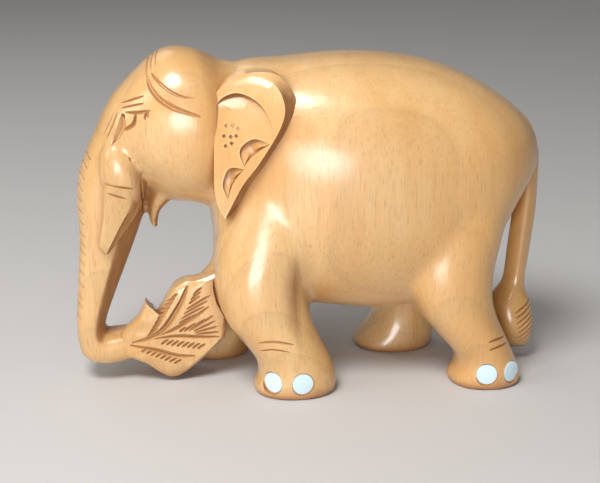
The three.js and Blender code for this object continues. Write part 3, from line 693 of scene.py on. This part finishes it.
class Surface:  # a material, and one way to add a node to it
    def __init__(self, name):
        self.material = bpy.data.materials.new(name)
        self.material.use_nodes = True
        self.tree = self.material.node_tree
        self.shader = self.tree.nodes["Principled BSDF"]

    def feed(self, socket, value):
        if isinstance(value, Wire):
            self.tree.links.new(value.socket, socket)
        else:
            socket.default_value = value

    def node(self, kind, settings, sockets, output=0):
        node = self.tree.nodes.new(kind)
        for key, value in settings.items():
            if key == "stops":
                ramp = node.color_ramp.elements
                while len(ramp) < len(value):
                    ramp.new(0.5)
                for stop, (place, grey) in zip(ramp, value):
                    stop.position = place
                    stop.color = (grey, grey, grey, 1)
            else:
                setattr(node, key, value)
        for key, value in sockets.items():
            self.feed(node.inputs[key], value)
        return Wire(self, node.outputs[output])

    def shine(self, **sockets):
        for key, value in sockets.items():
            self.feed(self.shader.inputs[key.replace("_", " ")], value)

    def mixed(self, factor, first, second):
        return self.node("ShaderNodeMix", {"data_type": "RGBA"}, {0: factor, 6: first, 7: second}, 2)

    def stretched(self, scale, turn=(0, 0, 0)):
        place = self.node("ShaderNodeTexCoord", {}, {}, 3)
        return self.node("ShaderNodeMapping", {}, {"Vector": place, "Scale": scale, "Rotation": turn})

    def noise(self, scale, detail=2.0, roughness=0.5, distortion=0.0):
        sockets = {"Vector": self.stretched(scale), "Scale": 1.0, "Detail": detail}
        sockets.update({"Roughness": roughness, "Distortion": distortion})
        return self.node("ShaderNodeTexNoise", {}, sockets)

    def ramp(self, value, *stops):
        return self.node("ShaderNodeValToRGB", {"stops": stops}, {0: value})

    def axes(self, value):  # a vector's X, Y and Z
        split = self.node("ShaderNodeSeparateXYZ", {}, {0: value}).socket.node
        return [Wire(self, socket) for socket in split.outputs]


woodColours = {
    "pale": (0.78, 0.51, 0.235, 1), "tan": (0.67, 0.395, 0.15, 1), "ring": (0.47, 0.275, 0.115, 1),
    # the amber is the wood's own tone in its blotches and figuring, and painted shade on the ears and rump
    "pore": (0.36, 0.165, 0.05, 1), "stainAndShade": (0.34, 0.115, 0.025, 1), "amberToneAndShade": (0.63, 0.315, 0.085, 1),
    # the cut colour is painted shade on walls that face away from the lamps
    "worn": (0.84, 0.58, 0.3, 1), "cut": (0.27, 0.105, 0.03, 1),
}
woodNoises = {  # scale along X, Y and Z, detail, roughness and distortion
    "cloud": ((28, 28, 12), 3.0), "blotch": ((45, 45, 26), 4.0, 0.6, 0.4),
    "figuring": ((170, 170, 13), 3.0, 0.6, 0.3), "warp": ((22, 22, 14), 2.0),
    "pore": ((2600, 2600, 170), 2.0, 0.6), "fibre": ((900, 900, 40), 3.0, 0.6),
    "shadeMottle": ((500, 500, 90), 3.0, 0.6),
}
# the ear, rump and wall shares are painted shade, and the stain share is stain and painted shade
woodShares = {  # how much of each colour comes in where it is strongest
    "blotch": 0.6, "figuring": 0.4, "year": 0.34, "fibre": 0.2, "pore": 0.45, "ear": 0.62, "rumpShade": 0.5,
    "wall": 0.88, "worn": 0.4, "stainAndShade": 0.92,
}
yearSheets = {"middle": 64.4, "bend": 0.0063, "warp": 2, "first": -28.2, "apart": 8}
# where the painted shade on the ears is centred and how far it reaches
earShadeCloud = {"x": -22, "out": 23, "z": 79, "reach": 22}
# the stain's reach is also how far the painted shade in creases and under parts reaches
lacquer = {"rough": 0.36, "poreDepth": 0.0002, "wornEdge": 1, "stainAndShadeReach": 6}


def lacqueredWood():
    wood = Surface("lacqueredWood")
    cloud = wood.ramp(wood.noise(*woodNoises["cloud"]), (0.3, 0), (0.7, 1))
    colour = wood.mixed(cloud, woodColours["pale"], woodColours["tan"])
    blotch = wood.ramp(wood.noise(*woodNoises["blotch"]), (0.5, 0), (0.75, 1))
    colour = wood.mixed(blotch * woodShares["blotch"], colour, woodColours["amberToneAndShade"])
    figuring = wood.ramp(wood.noise(*woodNoises["figuring"]), (0.44, 0), (0.7, 1))
    colour = wood.mixed(figuring * woodShares["figuring"], colour, woodColours["amberToneAndShade"])
    # growth rings: near flat sheets behind each other across the body
    place = wood.stretched((1 / mm, 1 / mm, 1 / mm))
    ahead, across, up = wood.axes(place)
    height = up - yearSheets["middle"]
    warp = wood.noise(*woodNoises["warp"]) * yearSheets["warp"]
    depth = across - height * height * yearSheets["bend"] + warp
    years = (depth - yearSheets["first"]) * (1 / yearSheets["apart"])
    year = wood.node("ShaderNodeMath", {"operation": "FRACT"}, {0: years})
    band = wood.ramp(year, (0.0, 0.6), (0.05, 0), (0.5, 0.1), (0.95, 0.7), (0.985, 1))
    colour = wood.mixed(band * woodShares["year"], colour, woodColours["ring"])
    # fine pore streaks along the grain, which runs up and down
    streak = wood.ramp(wood.noise(*woodNoises["pore"]), (0.55, 0), (0.72, 1))
    fibre = wood.ramp(wood.noise(*woodNoises["fibre"]), (0.35, 0), (0.75, 1))
    colour = wood.mixed(fibre * woodShares["fibre"], colour, woodColours["ring"])
    colour = wood.mixed(streak * woodShares["pore"], colour, woodColours["pore"])
    # painted shade: the ears and the rump are mixed toward a darker amber, as shade on them would look
    outward = wood.node("ShaderNodeMath", {"operation": "ABSOLUTE"}, {0: across}) - earShadeCloud["out"]
    onward, above = ahead - earShadeCloud["x"], height + (yearSheets["middle"] - earShadeCloud["z"])
    near = (onward * onward + outward * outward + above * above) * (1 / earShadeCloud["reach"] ** 2)
    earShade = 1 - wood.ramp(near, (0.3, 0), (1, 1))
    rumpShadeMask = wood.ramp(ahead * 0.01, (0.3, 0), (0.72, 1))
    earAndRumpShade = earShade * woodShares["ear"] + rumpShadeMask * woodShares["rumpShade"]
    colour = wood.mixed(earAndRumpShade, colour, woodColours["amberToneAndShade"])
    # painted shade: walls that face the rear of the head, trunk and ears, away from the lamps, are made
    # browner in a mottle, and rougher
    rearward = wood.axes(wood.node("ShaderNodeTexCoord", {}, {}, 1))[0]
    wall = wood.ramp(rearward, (0.2, 0), (0.6, 1)) * wood.ramp(ahead * -0.1, (0.6, 0), (0.8, 1))
    shadeMottle = wood.ramp(wood.noise(*woodNoises["shadeMottle"]), (0.3, 0.7), (0.7, 1))
    rearShadeStrength = woodShares["wall"] + earShade * (1 - woodShares["wall"])
    colour = wood.mixed(wall * shadeMottle * rearShadeStrength, colour, woodColours["cut"])
    # edges are worn lighter; the stain gathers in the cuts, and the same darkening is painted shade in
    # creases, hollows and under parts
    within, wornEdge = {"samples": 6, "inside": True}, {"Distance": lacquer["wornEdge"] * mm}
    solid = wood.node("ShaderNodeAmbientOcclusion", within, wornEdge, 1)
    rub = (1 - wood.ramp(solid, (0.45, 0), (0.85, 1))) * (1 - wall)
    colour = wood.mixed(rub * woodShares["worn"], colour, woodColours["worn"])
    stainAndShadeReach = {"Distance": lacquer["stainAndShadeReach"] * mm}
    shade = wood.node("ShaderNodeAmbientOcclusion", {"samples": 8}, stainAndShadeReach, 1)
    deep = 1 - wood.ramp(shade, (0.3, 0), (0.96, 1))
    colour = wood.mixed(deep * woodShares["stainAndShade"], colour, woodColours["stainAndShade"])
    rough = lacquer["rough"] + streak * 0.15 + cloud * 0.08 + wall * 0.2 + earShade * 0.08
    pores = {"Strength": 0.25, "Distance": lacquer["poreDepth"], "Height": 1 - streak}
    grain = wood.node("ShaderNodeBump", {}, pores)
    wood.shine(Base_Color=colour, Roughness=rough, Normal=grain)
    wood.shine(Coat_Weight=0.75 - earShade * 0.4 - wall * 0.3)
    wood.shine(Coat_Roughness=0.2, Coat_IOR=1.65, Specular_IOR_Level=0.5)
    return wood.material


def paleInlay():
    inlay = Surface("paleInlay")
    cloud = inlay.noise((500, 500, 500), 2.0)
    colour = inlay.mixed(cloud, (0.70, 0.87, 0.94, 1), (0.60, 0.80, 0.90, 1))
    inlay.shine(Base_Color=colour, Roughness=0.22 + cloud * 0.12, Coat_Weight=0.3)
    return inlay.material


wood, inlay = lacqueredWood(), paleInlay()
figure.data.materials.clear()
figure.data.materials.append(wood)
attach(figure, "root")
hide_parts("carved_elephant")
for name, nail in toenails:
    nail.data.materials.append(inlay)
    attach(nail, "root")
    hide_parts(name)
print("wood and inlay on", 1 + len(toenails), "pieces")


# Floor, light and camera

studio = {
    "floor": (0.62, 0.62, 0.63, 1), "floorCloud": (0.57, 0.57, 0.58, 1), "floorSize": 8,
    "sky": (1, 0.96, 0.91, 1), "skyStrength": 0.24, "lampTarget": (0, 0, 0.05),
}
lamps = (  # place in metres, size in metres, watts, colour
    ((-0.24, -0.36, 0.63), 0.3, 4.2, (1, 0.97, 0.93)),
    ((-0.74, -0.3, 0.46), 0.36, 1.3, (1, 0.99, 0.97)),
    ((-0.22, -0.73, 0.07), 0.32, 3.1, (0.98, 0.98, 1)),
    ((-0.3, 0.6, 0.7), 0.5, 0.7, (1, 0.97, 0.92)),
)
bpy.ops.object.select_all(action="DESELECT")
bpy.ops.mesh.primitive_plane_add(size=studio["floorSize"])
floor = bpy.context.object
floor.name = "floor"
paper = Surface("palePaper")
tint = paper.noise((3, 3, 3), 2.0)
paper.shine(Base_Color=paper.mixed(tint * 0.1, studio["floor"], studio["floorCloud"]), Roughness=0.85)
floor.data.materials.append(paper.material)

world = bpy.data.worlds.new("softSky")
world.use_nodes = True
world.node_tree.nodes["Background"].inputs[0].default_value = studio["sky"]
world.node_tree.nodes["Background"].inputs[1].default_value = studio["skyStrength"]
bpy.context.scene.world = world
for place, size, watts, colour in lamps:
    bpy.ops.object.light_add(type="AREA", location=place)
    lamp = bpy.context.object
    lamp.data.shape = "DISK"
    lamp.data.size = size
    lamp.data.energy = watts
    lamp.data.color = colour
    lamp.rotation_euler = (Vector(studio["lampTarget"]) - Vector(place)).to_track_quat("-Z", "Y").to_euler()

view = {
    "azimuth": math.radians(-8), "elevation": math.radians(15.6), "target": (-3.1, 0, 42.4), "away": 450,
    "lens": 84, "sensor": 36, "nearest": 0.01,
}
azimuth, elevation = view["azimuth"], view["elevation"]
flat = math.cos(elevation)
back = Vector((math.sin(azimuth) * flat, -math.cos(azimuth) * flat, math.sin(elevation)))
bpy.ops.object.camera_add(location=Vector(view["target"]) * mm + back * view["away"] * mm)
camera = bpy.context.object
camera.rotation_euler = (-back).to_track_quat("-Z", "Y").to_euler()
camera.data.lens = view["lens"]
camera.data.sensor_width = view["sensor"]
camera.data.clip_start = view["nearest"]
bpy.context.scene.camera = camera
bpy.context.scene.view_settings.view_transform = "Standard"
print("studio", len(lamps), "lamps and a camera")
